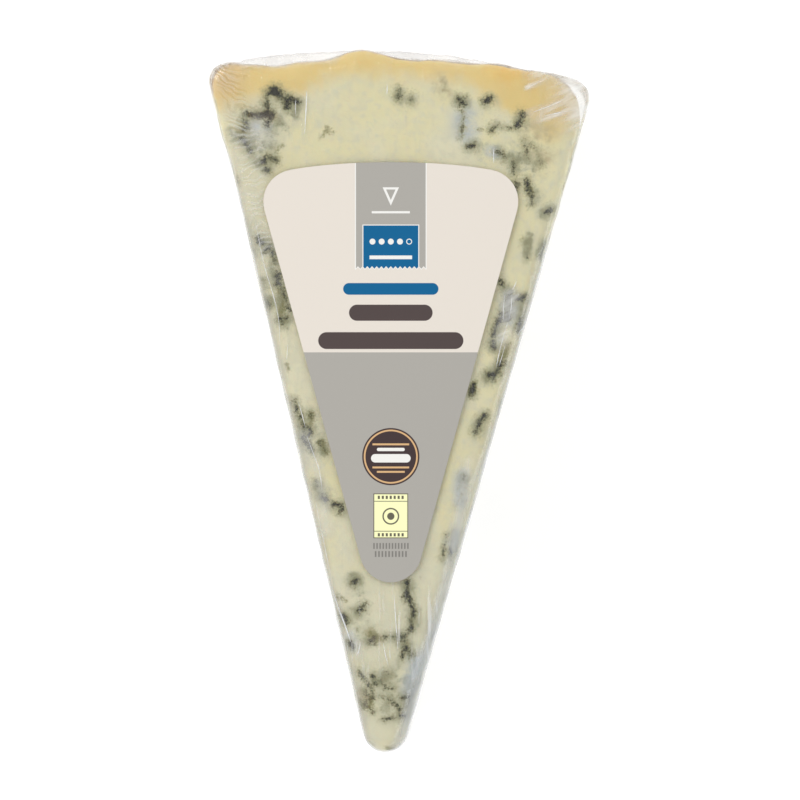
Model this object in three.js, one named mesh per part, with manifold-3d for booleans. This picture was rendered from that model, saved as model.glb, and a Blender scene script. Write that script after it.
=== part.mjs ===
// A wedge of blue cheese, shrink-wrapped in clear film, with a paper label stuck on its upper cut face.
// Millimetres, +Z up. The wedge lies on one cut face, with its rind end towards +Y and its tip towards -Y.
// Everything is set out from the wheel's centre; the group then moves the footprint's middle to the origin.
import * as THREE from "three";
import { mergeVertices } from "three/addons/utils/BufferGeometryUtils.js";
import Module from "manifold-3d";

const DEGREE = Math.PI / 180;

// The wedge as the wire cuts it. Bearings run clockwise from +Y, seen from above.
const RIND_RADIUS = 104.1;
const LEFT_CUT_BEARING = -13.1 * DEGREE;
const RIGHT_CUT_BEARING = 16 * DEGREE;
const WEDGE_HEIGHT = 60;
const TIP_RADIUS = 3.1;
const LEFT_CORNER_ROUND = 2.5;
const RIGHT_CORNER_ROUND = 5;
const EDGE_ROUND = 2.4;
const FACE_CROWN = 0.5;

// The pressed crumb is slowly uneven, and the rind has knobs and creases: width and depth of each wave.
const CUT_WAVE = { width: 19, depth: 0.3 };
const RIND_WAVE = { width: 10, depth: 0.6 };
const RIND_CREASES = { width: 4.5, depth: 0.3 };
const RIND_BLEND = 9;
const NOISE_SEED = 11;

// Where the rind pushes the film out: the middle's bearing, half the width, and the reach.
const RIND_SWELLS = [
  { bearing: -1.5 * DEGREE, spread: 1.9 * DEGREE, reach: 1.1 },
  { bearing: 9.5 * DEGREE, spread: 2.5 * DEGREE, reach: 0.3 },
];

// Dents where the film is drawn in: the cut's bearing, distance from the wheel's centre, height, size, depth.
const DENTS = [
  { bearing: LEFT_CUT_BEARING, distance: 71.6, height: 58, size: 2.6, depth: 0.5 },
  { bearing: RIGHT_CUT_BEARING, distance: 66.2, height: 58, size: 2.6, depth: 0.5 },
  { bearing: RIGHT_CUT_BEARING, distance: 84, height: 36, size: 10, depth: 0.6 },
  { bearing: LEFT_CUT_BEARING, distance: 46, height: 24, size: 9, depth: 0.6 },
];

// The film's heat-sealed tail: a thin fin that stands out of the rind end, cut off short at its right corner.
const TAIL_LEFT = { bearing: -12.9 * DEGREE, radius: 105.6 };
const TAIL_RIGHT = { bearing: 15.9 * DEGREE, radius: 104.4 };
const TAIL_TRIM = { bearing: 14.6 * DEGREE, depth: 1.9 };
const TAIL_ROOT_RADIUS = 99.5;
const TAIL_HEIGHT = 44;
const TAIL_THICKNESS = 0.7;
const TAIL_RIPPLE = { depth: 0.2, count: 5 };
const TAIL_STEPS = 48;

// The label: a wedge with round corners whose middle line runs straight towards the rind.
const LABEL_MIDDLE_X = 1;
const LABEL_TOP_Y = 90;
const LABEL_FOOT_Y = 32.5;
const LABEL_SHOULDER_HALF = 17.2;
const LABEL_CORNER_HALF = 18.5;
const LABEL_TOP_HALF = 13.6;
const LABEL_CORNER_DROP = 2.1;
const LABEL_TOP_BULGE = 1.25;
const LABEL_SIDE_LEAN = 15.45 * DEGREE;
const LABEL_FOOT_RADIUS = 4.2;
const LABEL_THICKNESS = 0.3;
const LABEL_GAP = 0.3;

// How finely each outline and face is divided.
const WEDGE_STEP = { straight: 3.3, curved: 1.3, arc: 2.2 };
const LABEL_STEP = { straight: 6, curved: 1.6, arc: 1.6 };
const WEDGE_RINGS = { top: 6, round: 4, wall: 15, bottom: 3 };
const LABEL_RINGS = { top: 4, round: 1, wall: 1, bottom: 2 };

const MIDDLE_BEARING = (LEFT_CUT_BEARING + RIGHT_CUT_BEARING) / 2;
const HALF_ANGLE = (RIGHT_CUT_BEARING - LEFT_CUT_BEARING) / 2;

const fromWheelCentre = (bearing, distance) =>
  new THREE.Vector2(Math.sin(bearing) * distance, Math.cos(bearing) * distance);

const { lerp, smoothstep } = THREE.MathUtils;

const bell = (away, size) => Math.exp(-((away / size) ** 2));

// The wedge's outline from above, anticlockwise from the right-hand side of the tip.
function wedgeOutline() {
  const tipCentre = fromWheelCentre(MIDDLE_BEARING, TIP_RADIUS / Math.sin(HALF_ANGLE));
  const tipEnd = tipCentre.length() * Math.cos(HALF_ANGLE);
  const rightRindEnd = RIGHT_CUT_BEARING - RIGHT_CORNER_ROUND / RIND_RADIUS;
  const leftRindEnd = LEFT_CUT_BEARING + LEFT_CORNER_ROUND / RIND_RADIUS;
  const rightCorner = fromWheelCentre(RIGHT_CUT_BEARING, RIND_RADIUS);
  const leftCorner = fromWheelCentre(LEFT_CUT_BEARING, RIND_RADIUS);
  const leftCutEnd = fromWheelCentre(LEFT_CUT_BEARING, RIND_RADIUS - LEFT_CORNER_ROUND);
  const shape = new THREE.Shape();
  shape.moveTo(...fromWheelCentre(RIGHT_CUT_BEARING, tipEnd));
  shape.lineTo(...fromWheelCentre(RIGHT_CUT_BEARING, RIND_RADIUS - RIGHT_CORNER_ROUND));
  shape.quadraticCurveTo(...rightCorner, ...fromWheelCentre(rightRindEnd, RIND_RADIUS));
  shape.absarc(0, 0, RIND_RADIUS, Math.PI / 2 - rightRindEnd, Math.PI / 2 - leftRindEnd, false);
  shape.quadraticCurveTo(...leftCorner, ...leftCutEnd);
  shape.lineTo(...fromWheelCentre(LEFT_CUT_BEARING, tipEnd));
  shape.absarc(...tipCentre, TIP_RADIUS, Math.PI - LEFT_CUT_BEARING, 2 * Math.PI - RIGHT_CUT_BEARING, false);
  return shape;
}

// The label's outline from above, anticlockwise from the right-hand side of its foot.
function labelOutline() {
  const foot = LABEL_FOOT_Y + LABEL_FOOT_RADIUS;
  const footSide = LABEL_FOOT_RADIUS * Math.cos(LABEL_SIDE_LEAN);
  const footRise = LABEL_FOOT_RADIUS * Math.sin(LABEL_SIDE_LEAN);
  const shoulder = foot - footRise + (LABEL_SHOULDER_HALF - footSide) / Math.tan(LABEL_SIDE_LEAN);
  const corner = LABEL_TOP_Y - LABEL_CORNER_DROP;
  const topEnd = LABEL_TOP_Y - LABEL_TOP_BULGE;
  const shape = new THREE.Shape();
  shape.moveTo(footSide, foot - footRise);
  shape.lineTo(LABEL_SHOULDER_HALF, shoulder);
  shape.quadraticCurveTo(LABEL_CORNER_HALF, corner, LABEL_TOP_HALF, topEnd);
  shape.quadraticCurveTo(0, LABEL_TOP_Y + LABEL_TOP_BULGE, -LABEL_TOP_HALF, topEnd);
  shape.quadraticCurveTo(-LABEL_CORNER_HALF, corner, -LABEL_SHOULDER_HALF, shoulder);
  shape.lineTo(-footSide, foot - footRise);
  shape.absarc(0, foot, LABEL_FOOT_RADIUS, Math.PI + LABEL_SIDE_LEAN, 2 * Math.PI - LABEL_SIDE_LEAN, false);
  return shape;
}

// Points round an outline, each with its outward normal.
function outlinePoints(shape, step) {
  const points = [];
  for (const curve of shape.curves) {
    const kind = curve.isLineCurve ? "straight" : curve.isEllipseCurve ? "arc" : "curved";
    const pieces = Math.round(curve.getLength() / step[kind]);
    if (pieces > 0) points.push(...curve.getSpacedPoints(pieces).slice(0, pieces));
  }
  const count = points.length;
  return points.map((point, i) => {
    const along = points[(i + 1) % count].clone().sub(points[(i + count - 1) % count]);
    return { point, normal: new THREE.Vector2(along.y, -along.x).normalize() };
  });
}

// The rings of a slab with round edges, from the middle of its top to the middle of its bottom.
function slabRings(height, round, divisions) {
  const quarter = Array.from({ length: divisions.round + 1 }, (_, i) => {
    const turn = (i / divisions.round) * (Math.PI / 2);
    return { inset: round * (1 - Math.sin(turn)), drop: round * (1 - Math.cos(turn)) };
  });
  const rings = [];
  for (let i = 0; i < divisions.top; i++) {
    rings.push({ inset: round, shrink: i / divisions.top, height });
  }
  for (const { inset, drop } of quarter) rings.push({ inset, shrink: 1, height: height - drop });
  for (let i = 1; i < divisions.wall; i++) {
    const wallHeight = lerp(height - round, round, i / divisions.wall);
    rings.push({ inset: 0, shrink: 1, height: wallHeight });
  }
  for (const { inset, drop } of quarter.reverse()) rings.push({ inset, shrink: 1, height: drop });
  for (let i = divisions.bottom - 1; i >= 0; i--) {
    rings.push({ inset: round, shrink: i / divisions.bottom, height: 0 });
  }
  return rings;
}

// Fits a sphere's grid to a slab: each of its circles becomes one ring of the outline.
function slabGeometry(outline, rings) {
  const around = outline.length;
  const middle = outline.reduce((sum, { point }) => sum.add(point), new THREE.Vector2()).divideScalar(around);
  const geometry = new THREE.SphereGeometry(1, around, rings.length - 1);
  geometry.deleteAttribute("normal");
  geometry.deleteAttribute("uv");
  const position = geometry.getAttribute("position");
  rings.forEach(({ inset, shrink, height }, row) => {
    for (let column = 0; column <= around; column++) {
      const { point, normal } = outline[column % around];
      const flat = point.clone().addScaledVector(normal, -inset);
      flat.sub(middle).multiplyScalar(shrink).add(middle);
      position.setXYZ(row * (around + 1) + column, flat.x, flat.y, height);
    }
  });
  return mergeVertices(geometry, 1e-4);
}

// A repeatable number from -1 to 1 for each corner of a grid in space.
function cornerValue(x, y, z) {
  const mixed = Math.sin(x * 127.1 + y * 311.7 + z * 74.7 + NOISE_SEED) * 43758.5453;
  return 2 * (mixed - Math.floor(mixed)) - 1;
}

// Smooth unevenness: the corners' numbers blended across each cell of the grid.
function unevenness(point, wave) {
  const cell = point.clone().divideScalar(wave.width);
  const base = cell.clone().floor();
  const share = cell.sub(base).toArray().map((t) => t * t * (3 - 2 * t));
  let sum = 0;
  for (let corner = 0; corner < 8; corner++) {
    const side = [corner & 1, (corner >> 1) & 1, corner >> 2];
    const weight = side.reduce((product, far, axis) => product * (far ? share[axis] : 1 - share[axis]), 1);
    sum += weight * cornerValue(base.x + side[0], base.y + side[1], base.z + side[2]);
  }
  return sum * wave.depth;
}

// How far the upper face sinks from its middle line towards the two cuts.
function crownDrop(x, y) {
  const across = (Math.atan2(x, y) - MIDDLE_BEARING) / HALF_ANGLE;
  return FACE_CROWN * Math.min(across * across, 1);
}

function rindMove(point, bearing) {
  const swell = RIND_SWELLS.reduce((sum, s) => sum + s.reach * bell(bearing - s.bearing, s.spread), 0);
  return swell + unevenness(point, RIND_WAVE) + unevenness(point, RIND_CREASES);
}

function cutMove(point) {
  const dents = DENTS.reduce((sum, dent) => {
    const flat = fromWheelCentre(dent.bearing, dent.distance);
    const away = point.distanceTo(new THREE.Vector3(flat.x, flat.y, dent.height));
    return sum + dent.depth * bell(away, dent.size);
  }, 0);
  return unevenness(point, CUT_WAVE) - dents;
}

// Moves a point of the plain wedge onto the uneven, crowned, film-drawn surface. The resting face stays flat.
function settle(point) {
  const bearing = Math.atan2(point.x, point.y);
  const distance = Math.hypot(point.x, point.y);
  const turned = bearing - MIDDLE_BEARING;
  const rindShare = smoothstep(distance, RIND_RADIUS - RIND_BLEND, RIND_RADIUS - 1);
  const sideShare = smoothstep(Math.abs(turned), HALF_ANGLE / 2, HALF_ANGLE);
  const clearOfFloor = smoothstep(point.z, 0, 2 * EDGE_ROUND);
  const outward = fromWheelCentre(bearing, rindMove(point, bearing) * rindShare * clearOfFloor);
  const sideMove = cutMove(point) * sideShare * (1 - rindShare) * clearOfFloor;
  const sideways = fromWheelCentre(MIDDLE_BEARING + Math.PI / 2, Math.sign(turned) * sideMove);
  point.x += outward.x + sideways.x;
  point.y += outward.y + sideways.y;
  if (point.z > WEDGE_HEIGHT / 2) point.z -= crownDrop(point.x, point.y);
}

function moveEachPoint(geometry, move) {
  const position = geometry.getAttribute("position");
  const point = new THREE.Vector3();
  for (let i = 0; i < position.count; i++) {
    move(point.fromBufferAttribute(position, i));
    position.setXYZ(i, point.x, point.y, point.z);
  }
}

// The fin's outline from above: a rippling cut edge, and a root inside the cheese.
function tailOutline() {
  const edge = [];
  const root = [];
  for (let i = 0; i <= TAIL_STEPS; i++) {
    const share = i / TAIL_STEPS;
    const bearing = lerp(TAIL_RIGHT.bearing, TAIL_LEFT.bearing, share);
    const radius = lerp(TAIL_RIGHT.radius, TAIL_LEFT.radius, share);
    const trim = Math.max(bearing - TAIL_TRIM.bearing, 0) / (TAIL_RIGHT.bearing - TAIL_TRIM.bearing);
    const ripple = TAIL_RIPPLE.depth * Math.sin(TAIL_RIPPLE.count * (7 * share + Math.sin(4 * share)));
    edge.push(fromWheelCentre(bearing, radius + ripple - trim * TAIL_TRIM.depth));
    root.unshift(fromWheelCentre(bearing, TAIL_ROOT_RADIUS));
  }
  return new THREE.Shape([...edge, ...root]);
}

const wasm = await Module();
wasm.setup();

function solidOf(geometry) {
  const bare = geometry.clone();
  bare.deleteAttribute("normal");
  bare.deleteAttribute("uv");
  const merged = mergeVertices(bare, 1e-4);
  const vertProperties = new Float32Array(merged.getAttribute("position").array);
  const triVerts = new Uint32Array(merged.index.array);
  return new wasm.Manifold(new wasm.Mesh({ numProp: 3, vertProperties, triVerts }));
}

function geometryOf(solid) {
  const { vertProperties, triVerts } = solid.getMesh();
  const geometry = new THREE.BufferGeometry();
  geometry.setAttribute("position", new THREE.BufferAttribute(vertProperties, 3));
  geometry.setIndex(new THREE.BufferAttribute(triVerts, 1));
  return geometry;
}

// The cheese in its film, with the sealed tail joined on.
function wrappedWedgeGeometry() {
  const outline = outlinePoints(wedgeOutline(), WEDGE_STEP);
  const wedge = slabGeometry(outline, slabRings(WEDGE_HEIGHT, EDGE_ROUND, WEDGE_RINGS));
  moveEachPoint(wedge, settle);
  const tail = new THREE.ExtrudeGeometry(tailOutline(), { depth: TAIL_THICKNESS, bevelEnabled: false });
  tail.translate(0, 0, TAIL_HEIGHT);
  return geometryOf(solidOf(wedge).add(solidOf(tail)));
}

// The label follows the crown of the face that it is stuck on.
function labelGeometry() {
  const outline = outlinePoints(labelOutline(), LABEL_STEP);
  const label = slabGeometry(outline, slabRings(LABEL_THICKNESS, LABEL_THICKNESS / 4, LABEL_RINGS));
  label.translate(LABEL_MIDDLE_X, 0, WEDGE_HEIGHT + LABEL_GAP);
  moveEachPoint(label, (point) => {
    point.z -= crownDrop(point.x, point.y);
  });
  return label;
}

const filmedCheese = new THREE.MeshStandardMaterial({ color: 0xd5cfad, roughness: 0.25, metalness: 0 });
const labelPaper = new THREE.MeshStandardMaterial({ color: 0xeae2d7, roughness: 0.6, metalness: 0 });

const wrappedWedge = new THREE.Mesh(wrappedWedgeGeometry(), filmedCheese);
wrappedWedge.name = "wrapped_wedge";
const label = new THREE.Mesh(labelGeometry(), labelPaper);
label.name = "label";

const box = new THREE.Box3().setFromObject(wrappedWedge);
const footprint = box.getCenter(new THREE.Vector3());
const pack = new THREE.Group();
pack.add(wrappedWedge, label);
pack.position.set(-footprint.x, -footprint.y, -box.min.z);

export default pack;
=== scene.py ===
import math
import random

import bpy
import numpy as np
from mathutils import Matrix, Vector, noise


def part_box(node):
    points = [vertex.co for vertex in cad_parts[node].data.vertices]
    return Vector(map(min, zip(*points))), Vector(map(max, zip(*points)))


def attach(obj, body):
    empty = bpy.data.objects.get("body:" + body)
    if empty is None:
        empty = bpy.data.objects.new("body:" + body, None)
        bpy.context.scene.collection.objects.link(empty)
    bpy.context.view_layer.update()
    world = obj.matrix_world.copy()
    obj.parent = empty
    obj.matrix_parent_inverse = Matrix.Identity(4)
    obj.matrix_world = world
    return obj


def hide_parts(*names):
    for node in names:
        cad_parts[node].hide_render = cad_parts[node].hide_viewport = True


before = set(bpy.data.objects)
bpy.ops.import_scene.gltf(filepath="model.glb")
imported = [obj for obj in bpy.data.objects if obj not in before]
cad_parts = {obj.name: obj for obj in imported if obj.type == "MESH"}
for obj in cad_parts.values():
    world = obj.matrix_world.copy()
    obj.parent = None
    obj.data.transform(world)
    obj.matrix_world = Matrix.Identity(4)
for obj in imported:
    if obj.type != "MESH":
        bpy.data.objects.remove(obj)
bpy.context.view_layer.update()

# The block of cheese.
# A wire cuts it from a round cheese: two upright cuts, the rind as the wide end, and a tip pressed blunt.
# The soft paste is rounded at every edge by the film, and lies a little inside it all round.
MM = 0.001
pack_low, pack_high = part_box("wrapped_wedge")
HEIGHT = pack_high.z
RIND_RADIUS = 104.1 * MM
LEFT_CUT = math.radians(-13.1)
RIGHT_CUT = math.radians(16)
MIDDLE = (LEFT_CUT + RIGHT_CUT) / 2
HALF_ANGLE = (RIGHT_CUT - LEFT_CUT) / 2
TIP_ROUND = 3.1 * MM
TIP_REACH = TIP_ROUND / math.sin(HALF_ANGLE) - TIP_ROUND
WHEEL = Vector((pack_low.x + 23.57 * MM, pack_low.y - TIP_REACH, 0))
CROWN = 0.5 * MM
WHEEL_SIDES = 360
TIP_PLANES = 15
CORNER_PLANES = 9
CORNER_LEAD = 0.3
RIM_STEPS = 5
NEARLY = 0.1 * MM
VOXEL = 0.62 * MM
SMOOTHING = {"factor": 0.5, "iterations": 3}
UPPER_FACE_SLOPE = 0.6

CHEESE_INSETS = {"side": 0.2 * MM, "rind": 0.1 * MM, "top": 0.2 * MM}
CHEESE_CORNERS = {"left": 2.6 * MM, "right": 6.2 * MM, "rim": 2.1 * MM}


def outward(bearing, side):
    """The outward normal of the cut at a bearing, for the left (-1) or right (1) side."""
    return Vector((side * math.cos(bearing), -side * math.sin(bearing), 0))


def along(bearing):
    """The level direction from the wheel's centre at a bearing clockwise from +Y."""
    return Vector((math.sin(bearing), math.cos(bearing), 0))


def rows_of(parts, name):
    """A place or direction of each vertex or face, as rows of x, y, z."""
    flat = np.empty(len(parts) * 3, np.float32)
    parts.foreach_get(name, flat)
    return flat.reshape(-1, 3).astype(float)


def points_of(piece):
    return rows_of(piece.data.vertices, "co")


def move_to(piece, points):
    """Puts the piece's vertices at these places."""
    piece.data.vertices.foreach_set("co", points.astype(np.float32).ravel())
    piece.data.update()


def choose(piece, kind, chosen):
    """Selects some vertices, edges or faces, and enters edit mode for the next operator."""
    bpy.ops.object.mode_set(mode="EDIT")
    bpy.ops.mesh.select_mode(type=kind)
    bpy.ops.mesh.select_all(action="DESELECT")
    bpy.ops.object.mode_set(mode="OBJECT")
    mesh = piece.data
    parts = {"VERT": mesh.vertices, "EDGE": mesh.edges, "FACE": mesh.polygons}[kind]
    parts.foreach_set("select", np.asarray(chosen, bool))
    bpy.ops.object.mode_set(mode="EDIT")


def slice_off(place, normal):
    """Cuts away what lies past a plane of the piece in edit mode, and closes the cut."""
    bpy.ops.mesh.select_all(action="SELECT")
    bpy.ops.mesh.bisect(plane_co=place, plane_no=normal, use_fill=True, clear_outer=True)


def finish_modifier(modifier, **settings):
    """Gives a modifier its settings and applies it."""
    for name, value in settings.items():
        setattr(modifier, name, value)
    bpy.ops.object.modifier_apply(modifier=modifier.name)


def cut_block(name, insets, depth):
    """A sector of the wheel with sharp edges, left in edit mode."""
    bpy.ops.object.select_all(action="DESELECT")
    radius = RIND_RADIUS - insets["rind"]
    bpy.ops.mesh.primitive_cylinder_add(vertices=WHEEL_SIDES, radius=radius, depth=depth)
    piece = bpy.context.object
    piece.name = name
    piece.location = WHEEL + Vector((0, 0, HEIGHT / 2))
    bpy.ops.object.transform_apply(location=True, rotation=True, scale=True)
    bpy.ops.object.mode_set(mode="EDIT")
    for normal in (outward(LEFT_CUT, -1), outward(RIGHT_CUT, 1)):
        slice_off(WHEEL - normal * insets["side"], normal)
    return piece


def round_upright_edge(centre, radius, first, last, planes):
    """Cuts an upright edge to a round one, by planes that touch a circle from one bearing to another."""
    for share in np.linspace(0, 1, planes + 2)[1:-1]:
        normal = along(first + (last - first) * share)
        slice_off(centre + normal * radius, normal)


def round_upright_edges(inset, corners):
    """Rounds the tip and both ends of the rind."""
    tip_centre = WHEEL + along(MIDDLE) * (TIP_ROUND / math.sin(HALF_ANGLE))
    tip_turn = (RIGHT_CUT + math.pi / 2, LEFT_CUT + math.pi * 1.5)
    round_upright_edge(tip_centre, TIP_ROUND - inset, *tip_turn, TIP_PLANES)
    for cut, side, size in ((LEFT_CUT, -1, corners["left"]), (RIGHT_CUT, 1, corners["right"])):
        bearing = cut - side * math.asin(size / (RIND_RADIUS - size))
        centre = WHEEL + along(bearing) * (RIND_RADIUS - size)
        turn = (bearing + side * CORNER_LEAD, cut + side * math.pi / 2)
        round_upright_edge(centre, size - inset, *turn, CORNER_PLANES)


def round_rims(piece, depth, size):
    """Rounds the edges all round the upper and the lower face."""
    heights = points_of(piece)[:, 2]
    ends = np.empty(len(piece.data.edges) * 2, np.int32)
    piece.data.edges.foreach_get("vertices", ends)
    first, second = heights[ends[0::2]], heights[ends[1::2]]
    choose(piece, "EDGE", np.abs(first + second - HEIGHT) > depth - NEARLY)
    bpy.ops.mesh.bevel(offset=size, segments=RIM_STEPS, affect="EDGES")
    bpy.ops.object.mode_set(mode="OBJECT")


def cut_wedge(name, insets, corners):
    """A wedge of the wheel inside the pack's box, with round edges and evenly divided faces."""
    depth = HEIGHT - 2 * insets["top"]
    piece = cut_block(name, insets, depth)
    round_upright_edges(insets["side"], corners)
    bpy.ops.object.mode_set(mode="OBJECT")
    round_rims(piece, depth, corners["rim"])
    finish_modifier(piece.modifiers.new("even faces", "REMESH"), mode="VOXEL", voxel_size=VOXEL)
    finish_modifier(piece.modifiers.new("smooth", "SMOOTH"), **SMOOTHING)
    normals = rows_of(piece.data.polygons, "normal")
    centres = rows_of(piece.data.polygons, "center")
    choose(piece, "FACE", (normals[:, 2] > UPPER_FACE_SLOPE) & (centres[:, 2] > HEIGHT / 2))
    bpy.ops.mesh.subdivide(number_cuts=1)
    bpy.ops.object.mode_set(mode="OBJECT")
    bpy.ops.object.shade_smooth()
    return piece


def ripples(points, width, seed):
    """Smooth noise from -1 to 1 at each point, in waves of a width."""
    shift = Vector((seed * 3.7, seed * 1.9, seed * 5.3))
    return np.array([noise.noise(Vector(point) / width + shift) for point in points])


def smoothstep(low, high, value):
    """From 0 at low to 1 at high, smoothly."""
    share = np.clip((value - low) / (high - low), 0, 1)
    return share * share * (3 - 2 * share)


def wheel_place(points):
    """Each point's bearing and distance from the wheel's upright axis."""
    x = points[:, 0] - WHEEL.x
    y = points[:, 1] - WHEEL.y
    return np.arctan2(x, y), np.hypot(x, y)


def crown_drop(points):
    """How far the upper face sinks from its middle line towards the two cuts."""
    bearing, _ = wheel_place(points)
    return CROWN * np.minimum(((bearing - MIDDLE) / HALF_ANGLE) ** 2, 1)


# The rind's swellings: how far each stands out in millimetres, its bearing and its spread in degrees.
SWELLINGS = [(1.55, -11.7, 2.2), (1.1, -1.5, 1.9), (0.3, 9.5, 2.5), (0.5, 13.8, 2.4)]
# The left cut's bow: how far it stands out, and where it begins and is full.
LEFT_BOW = 0.35 * MM
BOW_DISTANCES = (91 * MM, 97 * MM)
BOW_DEGREES = (-9, -12.5)
CROWN_BAND = (HEIGHT * 0.5, HEIGHT * 0.9)
RIND_BAND = (RIND_RADIUS - 6 * MM, RIND_RADIUS - 1 * MM)
FLOOR_BAND = (0, 5 * MM)


def shares_of(points):
    """How far each point belongs to the rind, and how far it is free of the floor, from 0 to 1."""
    _, distance = wheel_place(points)
    return smoothstep(*RIND_BAND, distance), smoothstep(*FLOOR_BAND, points[:, 2])


def swell(bearing):
    """How far the rind stands out of its circle."""
    swollen = 0
    for height, middle, spread in SWELLINGS:
        away = (bearing - math.radians(middle)) / math.radians(spread)
        swollen += height * MM * np.exp(-(away**2))
    return swollen


def bow(points):
    """How far each point moves when the left cut bows outwards below the rind."""
    bearing, distance = wheel_place(points)
    share = smoothstep(*BOW_DISTANCES, distance) * smoothstep(*BOW_DEGREES, np.degrees(bearing))
    return share[:, None] * LEFT_BOW * np.array(outward(LEFT_CUT, -1))


def settle(points, bearing, share):
    """Gives the points the swollen rind, the bowed left cut and the crowned upper face, in place."""
    spread = swell(bearing) * share
    points[:, 0] += np.sin(bearing) * spread
    points[:, 1] += np.cos(bearing) * spread
    points += bow(points)
    points[:, 2] -= crown_drop(points) * smoothstep(*CROWN_BAND, points[:, 2])


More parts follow.
